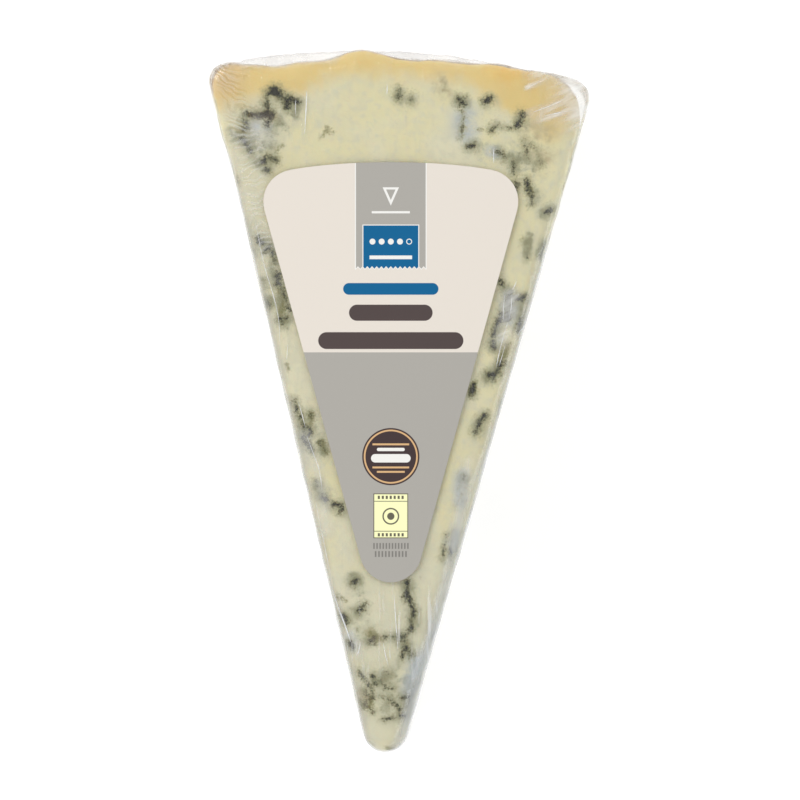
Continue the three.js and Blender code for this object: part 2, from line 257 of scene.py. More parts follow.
# The mould runs in cracks and pin holes through the paste. Each vein on the upper face is half its width,
# which is below 0 for a faint one, and the places that it runs through, in millimetres of the frame.
DARK_VEINS = [
    # The branched cluster near the left end of the rind.
    (0.36, [(-18.0, 41.5), (-17.0, 42.3), (-16.0, 41.2), (-14.9, 40.8), (-13.9, 40.6)]),
    (0.52, [(-17.2, 42.1), (-16.4, 41.5)]),
    (0.3, [(-18.0, 41.6), (-18.1, 40.4)]),
    (0.4, [(-15.3, 40.9), (-15.4, 40.0)]),
    (0.26, [(-18.2, 41.2), (-18.0, 39.9), (-18.3, 39.0)]),
    (0.34, [(-20.6, 38.9), (-19.4, 38.9), (-18.3, 39.0), (-17.4, 39.1)]),
    (0.42, [(-18.0, 39.3), (-17.5, 38.6)]),
    (0.22, [(-20.9, 38.2), (-20.7, 37.9)]),
    (0.28, [(-21.1, 36.8), (-20.7, 37.1)]),
    (0.2, [(-18.0, 37.8), (-18.0, 37.4)]),
    (0.32, [(-21.2, 35.5), (-20.6, 34.9), (-20.3, 34.2)]),
    (0.3, [(-18.9, 32.4), (-18.0, 33.0), (-17.0, 32.7)]),
    (0.3, [(-18.2, 31.5), (-18.0, 31.3)]),
    # Pin holes towards the right end of the rind.
    (0.24, [(-0.1, 42.0), (-0.2, 41.3)]),
    (0.14, [(1.7, 41.1), (1.6, 40.9)]),
    (0.26, [(8.0, 41.0), (8.5, 40.6), (8.9, 40.4)]),
    (0.16, [(8.2, 40.3), (8.8, 40.9)]),
    (-0.12, [(8.5, 39.6), (8.6, 37.8), (8.3, 35.8)]),
    (0.24, [(11.6, 40.6), (12.2, 41.0)]),
    (0.32, [(16.6, 38.9), (16.4, 38.0), (16.0, 37.5)]),
    (0.2, [(12.6, 37.0), (13.3, 37.4)]),
    (-0.08, [(13.6, 37.2), (15.6, 37.1)]),
    (0.24, [(9.4, 34.6), (10.1, 34.7)]),
    (0.2, [(13.4, 33.8), (14.3, 33.1)]),
    (0.04, [(16.9, 35.3), (17.3, 34.2), (17.5, 33.0)]),
    (-0.1, [(17.6, 34.9), (18.6, 34.3), (18.9, 33.2)]),
    (0.08, [(19.0, 32.6), (19.3, 32.3)]),
    (0.24, [(15.5, 32.4), (15.5, 31.1)]),
    (0.28, [(15.8, 29.4), (15.6, 28.9)]),
    (0.14, [(17.2, 30.0), (17.5, 29.1), (17.4, 28.6), (18.1, 28.0)]),
    (0.04, [(18.0, 27.9), (18.0, 26.9)]),
    # Down the right-hand edge.
    (0.24, [(19.9, 25.5), (20.7, 26.0)]),
    (0.04, [(17.1, 21.6), (17.2, 21.4)]),
    (0.04, [(17.3, 19.7), (17.3, 19.4)]),
    (0.16, [(19.9, 21.0), (19.5, 19.8)]),
    (0.2, [(13.8, 16.2), (14.2, 15.5)]),
    (0.24, [(14.9, 14.6), (14.8, 12.6), (14.7, 11.0)]),
    (0.28, [(15.3, 14.0), (16.4, 13.8), (16.9, 13.9)]),
    (0.26, [(13.9, 11.6), (13.2, 10.0), (12.8, 9.0)]),
    (0.3, [(12.6, 7.8), (12.9, 7.1)]),
    (0.24, [(16.5, 10.9), (16.4, 9.6)]),
    (0.32, [(13.8, 5.2), (13.3, 4.0), (12.7, 3.0)]),
    (0.45, [(12.9, 3.5), (12.2, 3.3)]),
    (0.22, [(10.0, 2.0), (9.8, 0.8)]),
    (0.26, [(11.6, -2.1), (10.8, -3.1), (10.3, -4.4)]),
    (0.16, [(8.7, -10.5), (8.7, -10.9)]),
    (-0.16, [(8.6, -11.4), (8.4, -14.2)]),
    (0.02, [(7.3, -18.0), (7.1, -19.8), (6.9, -21.1)]),
    (-0.08, [(6.4, -18.6), (6.0, -20.3), (5.8, -21.6)]),
    # Down the left-hand edge.
    (0.3, [(-18.8, 21.6), (-18.6, 21.4)]),
    (0.18, [(-19.4, 22.1), (-19.3, 21.6)]),
    (0.26, [(-18.3, 20.5), (-17.8, 20.9)]),
    (0.22, [(-17.5, 20.5), (-17.2, 19.8)]),
    (0.16, [(-17.0, 19.2), (-16.9, 18.7)]),
    (0.42, [(-16.9, 17.0), (-16.5, 15.9)]),
    (0.08, [(-16.2, 15.8), (-15.6, 13.9), (-15.0, 12.2)]),
    (0.26, [(-18.2, 13.4), (-17.8, 12.9)]),
    (0.28, [(-16.4, 11.1), (-15.9, 10.7), (-15.4, 11.2)]),
    (0.2, [(-14.5, -0.1), (-14.1, -1.4), (-13.4, -2.7), (-13.1, -3.6), (-13.0, -5.0)]),
    (0.3, [(-13.2, -5.1), (-12.9, -5.7)]),
    (0.14, [(-12.1, -1.9), (-12.0, -2.1)]),
    (0.12, [(-10.8, -5.9), (-10.3, -6.9)]),
    (0.14, [(-12.8, -5.7), (-12.0, -6.9)]),
    (0.32, [(-12.5, -3.9), (-12.3, -4.6)]),
    (0.24, [(-11.4, -11.3), (-11.2, -11.8)]),
    (0.26, [(-10.7, -13.1), (-10.2, -13.6)]),
    (0.24, [(-9.1, -14.3), (-7.9, -14.4), (-8.0, -15.1)]),
    # Above the tip.
    (0.34, [(-6.3, -24.9), (-5.9, -24.6)]),
    (0.3, [(-5.7, -28.9), (-5.0, -28.1)]),
    (0.34, [(-7.8, -29.5), (-7.3, -30.1)]),
    (0.25, [(-4.2, -33.0), (-3.7, -32.7)]),
    (0.12, [(-2.0, -32.3), (-0.6, -32.3)]),
    (0.2, [(-7.0, -33.1), (-6.4, -33.8)]),
    (0.3, [(0.9, -24.9), (1.1, -26.0)]),
    (0.36, [(0.9, -26.7), (1.3, -27.3)]),
    (0.24, [(1.4, -27.6), (1.9, -28.8), (1.6, -30.0)]),
    (0.18, [(1.6, -30.2), (1.4, -31.6)]),
    (0.32, [(-0.1, -32.4), (0.6, -32.2)]),
    (0.22, [(0.6, -32.6), (1.0, -34.0), (1.4, -34.8)]),
    (0.1, [(0.6, -33.6), (0.3, -35.0)]),
    (0.0, [(-1.3, -37.4), (-2.2, -37.4), (-2.6, -38.4), (-2.0, -39.3), (-0.9, -39.3)]),
    (0.16, [(-3.7, -37.7), (-3.3, -38.7), (-2.6, -38.4)]),
    (0.0, [(-5.6, -37.2), (-4.9, -37.9), (-3.9, -39.4), (-3.6, -40.6)]),
    (0.1, [(-4.8, -39.7), (-4.4, -40.5), (-4.6, -41.6)]),
    (0.06, [(-1.5, -40.6), (-0.5, -41.5), (0.2, -42.4)]),
    (0.2, [(0.3, -40.6), (1.3, -40.6)]),
    (-0.08, [(-0.3, -42.4), (1.0, -41.9), (1.6, -40.6), (1.9, -38.9)]),
    (-0.1, [(-4.8, -41.2), (-3.6, -42.6)]),
    (-0.16, [(-1.7, -42.4), (-1.6, -41.0), (-2.9, -40.2)]),
    (0.2, [(0.1, -43.1), (0.6, -43.0)]),
    (-0.08, [(-2.4, -43.6), (-0.9, -43.3)]),
]
OLIVE_VEINS = [
    (0.12, [(-10.8, 35.9), (-10.2, 36.6), (-9.9, 37.1)]),
    (0.1, [(-10.2, 36.6), (-9.2, 36.4)]),
    (0.12, [(-16.9, 34.1), (-16.2, 34.8), (-15.9, 34.7)]),
    (0.1, [(10.7, 36.8), (10.9, 36.7)]),
    (0.35, [(17.5, 29.1), (17.9, 28.1)]),
    (0.4, [(14.6, 7.4), (14.2, 6.2)]),
    (0.3, [(10.1, 2.2), (9.7, 0.6)]),
    (0.26, [(-18.9, 16.4), (-18.5, 16.3)]),
    (0.4, [(-16.3, 15.2), (-16.1, 13.2), (-16.3, 11.8)]),
    (0.22, [(-15.4, 4.8), (-15.2, 4.3)]),
    (0.3, [(-12.1, -1.8), (-12.3, -3.2)]),
    (0.44, [(-10.7, -5.9), (-10.3, -6.9)]),
    (0.18, [(-8.5, -26.8), (-7.9, -27.0), (-7.5, -27.3)]),
    (0.5, [(-4.0, -31.9), (-3.1, -32.5)]),
    (0.12, [(2.8, -24.1), (2.9, -24.2)]),
    (0.3, [(-5.7, -41.0), (-4.9, -42.1), (-4.2, -41.8), (-4.1, -40.8)]),
    (0.24, [(-1.7, -47.5), (-1.1, -47.6)]),
]
# Round the veins the paste is stained, each stain with its reach and the places that it runs through.
GREY_STAINS = [
    (2.0, [(-18.6, 38.4), (-16.4, 37.4)]),
    (2.4, [(-21.4, 36.4), (-18.6, 35.0)]),
    (1.4, [(-19.8, 32.8), (-18.0, 32.2)]),
    (1.6, [(-15.8, 41.0), (-14.4, 39.4)]),
    (1.4, [(0.2, 41.3), (1.0, 40.6)]),
    (0.5, [(5.9, 43.7), (6.1, 41.9)]),
    (1.6, [(8.9, 38.2), (8.8, 36.8)]),
    (1.1, [(8.2, 40.8), (8.9, 40.4)]),
    (1.1, [(12.0, 40.7), (12.8, 40.2)]),
    (1.2, [(16.4, 38.4), (16.8, 37.2)]),
    (1.4, [(9.8, 34.4), (12.9, 33.8)]),
    (1.9, [(15.4, 33.6), (17.6, 31.6)]),
    (1.6, [(17.4, 29.4), (18.2, 27.4)]),
    (1.3, [(19.6, 25.3), (20.8, 25.8)]),
    (0.9, [(17.6, 22.4), (17.4, 20.2)]),
    (1.3, [(19.8, 21.0), (19.4, 19.6)]),
    (1.6, [(14.4, 14.4), (14.9, 11.2)]),
    (1.4, [(16.4, 13.6), (16.2, 9.6)]),
    (1.4, [(13.4, 10.4), (12.8, 7.4)]),
    (1.4, [(13.6, 4.8), (11.9, 2.8)]),
    (1.3, [(11.4, -2.4), (10.4, -4.4)]),
    (1.1, [(8.7, -11.0), (8.2, -14.4)]),
    (1.4, [(7.6, -18.6), (6.8, -21.4)]),
    (1.5, [(-18.9, 21.5), (-17.2, 19.6)]),
    (1.3, [(-17.2, 18.4), (-16.4, 16.2)]),
    (1.3, [(-16.2, 14.4), (-15.6, 10.0)]),
    (1.1, [(-18.6, 16.0), (-17.8, 13.0)]),
    (1.3, [(-13.6, -3.6), (-12.4, -6.0)]),
    (1.2, [(-12.6, -1.6), (-12.0, -3.6)]),
    (1.2, [(-10.9, -5.4), (-10.4, -7.6)]),
    (1.5, [(-11.0, -12.4), (-8.2, -14.9)]),
    (1.4, [(-6.4, -24.4), (-5.6, -26.0)]),
    (2.2, [(-6.6, -29.8), (-4.4, -31.6)]),
    (1.5, [(1.1, -25.4), (1.8, -30.8)]),
    (1.6, [(0.2, -32.6), (1.2, -34.6)]),
    (2.6, [(-4.6, -38.2), (-1.6, -38.4)]),
    (2.4, [(1.4, -36.2), (2.0, -39.4)]),
    (3.0, [(-2.6, -40.6), (0.9, -42.0)]),
]
BROWN_STAINS = [
    (2.2, [(18.2, 36.0), (19.6, 34.2)]),
    (1.2, [(20.4, 36.6), (19.6, 31.4)]),
    (1.6, [(5.8, 43.4), (6.1, 42.2)]),
    (1.3, [(14.8, 7.2), (14.0, 6.0)]),
    (1.0, [(16.0, 9.0), (14.9, 5.2)]),
    (1.0, [(-19.6, 38.8), (-17.6, 38.6)]),
    (1.2, [(-5.2, -40.4), (-4.2, -41.8)]),
    (1.0, [(-4.0, -31.8), (-3.0, -32.6)]),
    (0.8, [(8.2, -36.6), (7.9, -37.2)]),
]
BLUE_STAINS = [
    (2.1, [(8.8, 38.5), (9.0, 36.7)]),
    (1.1, [(-19.4, 37.4), (-18.4, 37.6)]),
    (1.2, [(14.7, 13.9), (14.9, 11.3)]),
    (1.0, [(12.4, 33.9), (13.0, 33.6)]),
    (1.1, [(8.4, -9.8), (8.0, -13.4)]),
    (1.6, [(2.4, -35.4), (1.4, -39.8)]),
    (1.0, [(-7.0, -32.0), (-6.6, -33.6)]),
]
# How far a vein or stain is looked for, where a stain ends in parts of its reach, and how the seeded veins
# of the unseen faces gather round a few homes and wander in short steps.
FAR = 6 * MM
STAIN_FADE = 1.45
HOMES = 12
NEAR_HOME = 0.7
HOME_SPREAD = 5 * MM
TURN = 0.9
STRIDE = (0.5, 1.7)


def on_upper_face(veins):
    """The veins' places as points in space, on the crowned upper face."""
    placed = []
    for size, path in veins:
        spots = np.array([(x * MM, y * MM, HEIGHT) for x, y in path])
        spots[:, 2] -= crown_drop(spots) + CHEESE_INSETS["top"]
        placed.append((size * MM, spots))
    return placed


def wandering_veins(draw, face, length, height, count, widths, steps):
    """Seeded veins on a face that is given as a function from two distances to a point in space."""
    veins = []
    homes = [(draw.uniform(*length), draw.uniform(*height)) for _ in range(HOMES)]
    for _ in range(count):
        spot = np.array([draw.uniform(*length), draw.uniform(*height)])
        if draw.random() < NEAR_HOME:
            spot = np.array(draw.choice(homes))
            spot = spot + [draw.gauss(0, HOME_SPREAD), draw.gauss(0, HOME_SPREAD)]
        heading = draw.uniform(0, 2 * math.pi)
        path = [spot]
        for _ in range(draw.randint(*steps)):
            heading += draw.uniform(-TURN, TURN)
            step = draw.uniform(*STRIDE) * MM
            spot = spot + step * np.array([math.cos(heading), math.sin(heading)])
            path.append(spot)
        width = draw.triangular(*widths, widths[0]) * MM
        veins.append((width, np.array([face(*spot) for spot in path])))
    return veins


def left_face(distance, height):
    return np.array(WHEEL + along(LEFT_CUT) * distance) + (0, 0, height)


def right_face(distance, height):
    return np.array(WHEEL + along(RIGHT_CUT) * distance) + (0, 0, height)


def lower_face(distance, across):
    return np.array(WHEEL + along(MIDDLE + across / RIND_RADIUS) * distance)


def path_distances(points, path):
    """Which points are near a path, and how far from it they are."""
    near = np.all((points > path.min(axis=0) - FAR) & (points < path.max(axis=0) + FAR), axis=1)
    close = points[near]
    nearest = np.full(len(close), FAR)
    for start, end in zip(path[:-1], path[1:]):
        step = end - start
        share = np.clip((close - start) @ step / max(step @ step, 1e-12), 0, 1)
        nearest = np.minimum(nearest, np.linalg.norm(close - start - share[:, None] * step, axis=1))
    return near, nearest


def vein_distance(points, veins):
    """Each point's distance from the nearest vein's edge: negative inside a vein, and at most FAR."""
    edge = np.full(len(points), FAR)
    for half_width, path in veins:
        near, away = path_distances(points, path)
        edge[near] = np.minimum(edge[near], away - half_width)
    return edge


def stain_depth(points, stains):
    """How deep in a stain each point is, from 0 outside to 1 in the middle of one."""
    depth = np.zeros(len(points))
    for reach, path in stains:
        near, away = path_distances(points, path)
        depth[near] = np.maximum(depth[near], smoothstep(STAIN_FADE, 0.0, away / reach))
    return depth


def keep_values(piece, name, values):
    """Stores one number for each vertex, which the material reads by name."""
    attribute = piece.data.attributes.new(name, "FLOAT", "POINT")
    attribute.data.foreach_set("value", values.astype(np.float32))


def over_the_rim(points):
    """The points raised towards the upper face, so that its veins run over the rim and end below it."""
    raised = points.copy()
    top = HEIGHT - crown_drop(points) - CHEESE_INSETS["top"]
    raised[:, 2] = np.minimum(top, points[:, 2] + CHEESE_CORNERS["rim"] + 0.5 * MM)
    return raised


ALONG_CUT = (14 * MM, 98 * MM)
UP_CUT = (1 * MM, 57 * MM)
ACROSS = (-22 * MM, 22 * MM)
# What each unseen face has: how many veins or stains, their sizes in millimetres and their steps.
SEEDED_VEINS = [
    ("dark", 56, (0.0, 0.6), (1, 4)),
    ("dark", 10, (0.0, 0.3), (5, 11)),
    ("olive", 20, (0.1, 0.45), (1, 3)),
    ("grey", 70, (1.2, 3.0), (1, 4)),
    ("brown", 24, (0.8, 1.8), (1, 3)),
    ("blue", 12, (0.8, 1.5), (1, 2)),
]
# The relief: pits at the dark veins, slow waves and crumb on the paste, lumps and grain on the crust. Near
# the table only a share of it is left, because the cheese is pressed flat there.
PIT_DEPTH = 0.2 * MM
PIT_EDGE = 0.3 * MM
WAVE_HEIGHT = 0.16 * MM
CRUMB_HEIGHT = 0.07 * MM
CRUST_LUMPS = 0.35 * MM
CRUST_GRAIN = 0.16 * MM
PRESSED_SHARE = 0.2

draw = random.Random(4)
seeded = {kind: [] for kind in ("dark", "olive", "grey", "brown", "blue")}
for face, height in ((left_face, UP_CUT), (right_face, UP_CUT), (lower_face, ACROSS)):
    for kind, count, widths, steps in SEEDED_VEINS:
        seeded[kind] += wandering_veins(draw, face, ALONG_CUT, height, count, widths, steps)

cheese = cut_wedge("cheese", CHEESE_INSETS, CHEESE_CORNERS)
points = points_of(cheese)
normals = rows_of(cheese.data.vertices, "normal")
bearing, _ = wheel_place(points)
rind_share, clear_of_floor = shares_of(points)
rim_points = over_the_rim(points)
edges = {}
for kind, placed in (("dark", DARK_VEINS), ("olive", OLIVE_VEINS)):
    on_top = vein_distance(rim_points, on_upper_face(placed))
    edges[kind] = np.minimum(on_top, vein_distance(points, seeded[kind]))
    keep_values(cheese, kind, edges[kind] / MM)
for kind, placed in (("grey", GREY_STAINS), ("brown", BROWN_STAINS), ("blue", BLUE_STAINS)):
    on_top = stain_depth(rim_points, on_upper_face(placed))
    keep_values(cheese, kind, np.maximum(on_top, stain_depth(points, seeded[kind])))
pits = PIT_DEPTH * smoothstep(PIT_EDGE, -PIT_EDGE, edges["dark"]) * (1 - rind_share)
slow = WAVE_HEIGHT * (ripples(points, 9 * MM, 1) - 0.6)
crumb = CRUMB_HEIGHT * ripples(points, 1.6 * MM, 2)
crust = CRUST_LUMPS * (ripples(points, 4.5 * MM, 3) - 0.3) + CRUST_GRAIN * ripples(points, 1.5 * MM, 4)
lift = (slow + crumb) * (1 - rind_share) + crust * rind_share - pits
points += normals * (lift * np.maximum(clear_of_floor, PRESSED_SHARE))[:, None]
settle(points, bearing, rind_share * clear_of_floor)
move_to(cheese, points)


class Wire:
    """One output of a material's nodes. Sums and products of wires add Math nodes."""

    def __init__(self, tree, socket=None):
        self.tree = tree
        self.socket = socket

    def node(self, kind, settings=None, values=None, output=0):
        made = self.tree.nodes.new(kind)
        for name, setting in (settings or {}).items():
            setattr(made, name, setting)
        for name, value in (values or {}).items():
            if isinstance(value, Wire):
                self.tree.links.new(value.socket, made.inputs[name])
            else:
                made.inputs[name].default_value = value
        return Wire(self.tree, made.outputs[output])

    def maths(self, operation, *values):
        return self.node("ShaderNodeMath", {"operation": operation}, dict(enumerate(values)))

    def vectors(self, operation, *values, output=0):
        settings = {"operation": operation}
        return self.node("ShaderNodeVectorMath", settings, dict(enumerate(values)), output)

    def axis(self, number):
        """The x, y or z of a vector."""
        return self.node("ShaderNodeSeparateXYZ", None, {0: self}, number)

    def attribute(self, name):
        """The number that a mesh keeps for each vertex under a name."""
        return self.node("ShaderNodeAttribute", {"attribute_name": name}, output=2)

    def bump(self, height, strength):
        """A normal bent by a relief in metres."""
        values = {"Height": height, "Distance": 1.0, "Strength": strength}
        return self.node("ShaderNodeBump", None, values)

    def __add__(self, other):
        return self.maths("ADD", self, other)

    def __radd__(self, other):
        return self.maths("ADD", other, self)

    def __sub__(self, other):
        return self.maths("SUBTRACT", self, other)

    def __rsub__(self, other):
        return self.maths("SUBTRACT", other, self)

    def __mul__(self, other):
        return self.maths("MULTIPLY", self, other)

    def __rmul__(self, other):
        return self.maths("MULTIPLY", other, self)

    def __truediv__(self, other):
        return self.maths("DIVIDE", self, other)

    def __pow__(self, other):
        return self.maths("POWER", self, other)

    def __abs__(self):
        return self.maths("ABSOLUTE", self)

    def within(self, pitch):
        """How far through each pitch this wire is, from 0 to 1."""
        return self.maths("FRACT", self / pitch)

    def least(self, other):
        return self.maths("MINIMUM", self, other)

    def most(self, other):
        return self.maths("MAXIMUM", self, other)

    def rise(self, low, high):
        """From 0 at low to 1 at high, smoothly."""
        settings = {"interpolation_type": "SMOOTHSTEP"}
        values = {"Value": self, "From Min": low, "From Max": high}
        return self.node("ShaderNodeMapRange", settings, values)

    def blend(self, first, second):
        """From the first colour to the second as this wire goes from 0 to 1."""
        settings = {"data_type": "RGBA"}
        return self.node("ShaderNodeMix", settings, {0: self, 6: first, 7: second}, 2)

    def cloud(self, size, detail=2.0, rough=0.5):
        """Noise from 0 to 1 with blotches of a size in millimetres."""
        values = {"Vector": self, "Scale": 1 / (size * MM), "Detail": detail, "Roughness": rough}
        return self.node("ShaderNodeTexNoise", None, values)


def paint(red, green, blue):
    """A colour given in the 0 to 255 numbers of a screen, as the renderer's light values."""
    shares = [channel / 255 for channel in (red, green, blue)]
    return tuple(((s + 0.055) / 1.055) ** 2.4 if s > 0.04 else s / 12.92 for s in shares) + (1.0,)


def new_material(name, roughness, **constants):
    """A material with one Principled shader, and a wire to add its nodes from."""
    material = bpy.data.materials.new(name)
    material.use_nodes = True
    shader = material.node_tree.nodes["Principled BSDF"]
    shader.inputs["Roughness"].default_value = roughness
    for socket, value in constants.items():
        shader.inputs[socket.replace("_", " ")].default_value = value
    return material, shader, Wire(material.node_tree)


def feed(shader, socket, wire):
    wire.tree.links.new(wire.socket, shader.inputs[socket])


PASTE = paint(218, 212, 180)
PASTE_YELLOW = paint(219, 211, 168)
PASTE_GREY = paint(205, 201, 174)
GOLD = paint(220, 194, 126)
AMBER = paint(224, 184, 100)
PEACH = paint(218, 188, 144)
CRUST = paint(166, 138, 104)
CRUST_BLOOM = paint(196, 184, 160)
CRUST_AMBER = paint(184, 148, 98)
CRUST_DARK = paint(112, 96, 76)
MOULD_DARK = paint(18, 16, 4)
MOULD_GREEN = paint(85, 84, 46)
MOULD_FRINGE = paint(131, 129, 92)
MOULD_SMUDGE = paint(117, 114, 76)
MOULD_BROWN = paint(92, 74, 50)
STAIN_GREY = paint(172, 171, 141)
STAIN_BLUE = paint(184, 190, 192)
STAIN_BROWN = paint(176, 160, 118)
OLIVE = paint(116, 112, 62)
AMBER_MIDDLE = 15

paste, shader, wire = new_material("paste", 0.55, Subsurface_Weight=0.1, Subsurface_Scale=0.0015)
place = wire.node("ShaderNodeTexCoord", output=3)
flat_place = wire.vectors("MULTIPLY", place, (1, 1, 0))
from_axis = wire.vectors("DISTANCE", flat_place, (WHEEL.x, WHEEL.y, 0), output=1)
x = place.axis(0) / MM
z = place.axis(2) / MM
dark_edge = wire.attribute("dark")
olive_edge = wire.attribute("olive")
grey_depth = wire.attribute("grey")
brown_depth = wire.attribute("brown")
blue_depth = wire.attribute("blue")
broad = place.cloud(11)
medium = place.cloud(2.6, 3)
small = place.cloud(1.0, 3, 0.6)
grain = place.cloud(0.3, 2, 0.6)
# Cream, yellower in patches and towards the right, with grey flecks, and greyer above the tip.
colour = broad.rise(0.42, 0.6).most(x.rise(12, 16) * 0.9).blend(PASTE, PASTE_YELLOW)
colour = (medium.rise(0.45, 0.75) * 0.55).blend(colour, PASTE_GREY)
colour = (small.rise(0.46, 0.7) * 0.6).blend(colour, PASTE_GREY)
colour = (from_axis.rise(44 * MM, 24 * MM) * 0.6).blend(colour, PASTE_GREY)
# Under the rind it is golden, amber near the right end and peach at the left one.
rind_depth = (RIND_RADIUS - from_axis) / MM
gold_depth = x.rise(6, 19) * 4.2 - x.rise(20, 24) * 2.2 + x.rise(-9, -15) * 1.3 + 3.0
gold = (rind_depth - gold_depth + (broad - 0.5) * 6 + (medium - 0.5) * 3).rise(1.5, -2.5)
colour = gold.blend(colour, GOLD)
amber = (rind_depth + (medium - 0.5) * 5).rise(3.4, 0.8) * abs(x - AMBER_MIDDLE).rise(5, 1)
colour = (amber * 0.7).blend(colour, AMBER)
peach = x.rise(-19.5, -23.5) * rind_depth.rise(5, 1)
colour = (peach * 0.6).blend(colour, PEACH)
# The stains are mottled, and the grey ones hold smudges of mould.
mottle = (medium - 0.5) * 2.2 + (small - 0.5) * 1.6 + 0.75
grey_mask = grey_depth * mottle.rise(0.15, 1.2)
colour = (grey_mask * 0.9).blend(colour, STAIN_GREY)
smudge = grey_depth.rise(0.25, 0.8) * (medium * 0.6 + small * 0.6 + grain * 0.2).rise(0.7, 0.86)
colour = (smudge * 0.6).blend(colour, MOULD_SMUDGE)
blue_mask = blue_depth * mottle.rise(-0.1, 0.9)
colour = (blue_mask * 0.8).blend(colour, STAIN_BLUE)
brown_mask = brown_depth * mottle.rise(0.3, 1.3)
colour = (brown_mask * 0.85).blend(colour, STAIN_BROWN)
ragged = (small - 0.5) * 1.3 + (grain - 0.5) * 1.1
# The cut sides and the resting face are also marbled by a net of fine cracks.
below_rim = z.rise(HEIGHT / MM - 3, HEIGHT / MM - 5) * rind_depth.rise(4, 9)
winding = place.cloud(8, 3, 0.55)
crack = abs(winding - 0.5)
mouldy = place.cloud(13, 2).rise(0.44, 0.6) * below_rim
colour = (crack.rise(0.09, 0.0) * mouldy * mottle.rise(0.1, 1.2) * 0.85).blend(colour, STAIN_GREY)
ragged_crack = crack + ragged * 0.02
colour = (ragged_crack.rise(0.034, 0.008) * mouldy * 0.75).blend(colour, MOULD_FRINGE)
colour = (ragged_crack.rise(0.014, 0.0) * mouldy * 0.85).blend(colour, MOULD_DARK)
# A vein has an olive fringe, a green core and a nearly black heart.
fringe = (dark_edge + ragged * 1.2).rise(1.15, 0.0)
colour = (fringe * 0.6).blend(colour, MOULD_FRINGE)
olive_mask = (olive_edge + ragged * 0.9 + (medium - 0.5) * 0.8).rise(0.4, -0.3)
colour = (olive_mask * 0.85).blend(colour, OLIVE)
core = (dark_edge + ragged + (medium - 0.5) * 0.8).rise(0.32, -0.14)
mould = (small.rise(0.4, 0.62) * 0.4).blend(MOULD_GREEN, MOULD_FRINGE)
colour = (core * 0.85).blend(colour, (brown_depth * 0.6).blend(mould, MOULD_BROWN))
heart = (dark_edge + ragged * 0.9 + (medium - 0.5) * 0.9).rise(0.03, -0.32)
colour = (heart * 0.92).blend(colour, (brown_depth * 0.3).blend(MOULD_DARK, MOULD_BROWN))
# The crust of the rind is pitted and cracked, brown with a pale bloom, and amber towards its edges.
from_edge = z.least(HEIGHT / MM - z)
crust_line = from_edge + (small - 0.5) * 2 + x.rise(-20, -24) * 0.5
crust_mask = (rind_depth + (small - 0.5) * 0.8).rise(2.6, 1.8) * crust_line.rise(1.5, 3.4)
pitted = place.cloud(1.9, 4, 0.66)
crust_colour = broad.rise(0.4, 0.62).blend(CRUST, CRUST_AMBER)
crust_colour = ((medium * 0.7 + pitted * 0.5).rise(0.46, 0.78) * 0.85).blend(crust_colour, CRUST_BLOOM)
crust_colour = (pitted.rise(0.46, 0.32) * 0.55).blend(crust_colour, CRUST_DARK)
crust_colour = (from_edge.rise(7, 2) * 0.5).blend(crust_colour, CRUST_AMBER)
crust_crack = abs(place.cloud(6, 3, 0.6) - 0.5).rise(0.035, 0.0)
crust_colour = (crust_crack * 0.6).blend(crust_colour, CRUST_DARK)
colour = crust_mask.blend(colour, crust_colour)
height = (small - 0.5) * 0.00014 + (grain - 0.5) * 0.00004 + core * -0.0001
height = height + ((pitted - 0.5) * 0.0009 - crust_crack * 0.0003) * crust_mask
feed(shader, "Base Color", colour)
feed(shader, "Normal", wire.bump(height, 0.6))
cheese.data.materials.append(paste)
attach(cheese, "root")
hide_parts("wrapped_wedge")

# The shrink film.
# Clear plastic film, sealed into a loose bag and shrunk tight with hot air. It bridges the hollows and the
# round edges of the cheese, and is milky where it is crumpled: at the corners and along the edges.
# Its white pleat crests, streaks and creases are painted highlights, and its grey rims painted shade and
# reflection.
FILM_INSETS = {"side": 0, "rind": 0, "top": 0}
FILM_CORNERS = {"left": 1.8 * MM, "right": 2.6 * MM, "rim": 1.9 * MM}
SLACK = 0.09 * MM
PUCKERS = 0.14 * MM
CRUST_PRINT = 0.3 * MM
SEAL_HEIGHT = 44.3 * MM
# Where the film is crumpled: each patch's reach and the places that it runs through, as for the stains.
CRUMPLES = [
    (4.4, [(24.6, 43.2), (25.4, 39.6)]),
    (2.2, [(21.6, 44.8), (18.6, 45.7)]),
    (0.8, [(17.8, 39.0), (21.0, 40.0), (24.2, 41.8)]),
    (0.7, [(18.8, 38.3), (22.0, 39.0), (24.6, 40.0)]),
    (0.5, [(17.4, 42.6), (19.6, 43.6)]),
    (1.1, [(9.4, -8.6), (8.2, -13.6), (6.8, -19.6)]),
    (1.0, [(-21.2, 46.0), (-16.0, 46.5), (-9.0, 46.8)]),
    (1.7, [(-19.8, 37.2), (-18.4, 35.8)]),
    (1.1, [(-12.9, -4.8), (-12.3, -7.0), (-11.2, -9.6), (-10.7, -12.6), (-9.9, -18.0)]),
    (0.9, [(-5.8, -33.4), (-5.6, -34.6)]),
    (2.0, [(6.4, -32.0), (3.6, -42.0)]),
    (1.4, [(15.2, 14.0), (13.9, 8.0)]),
]

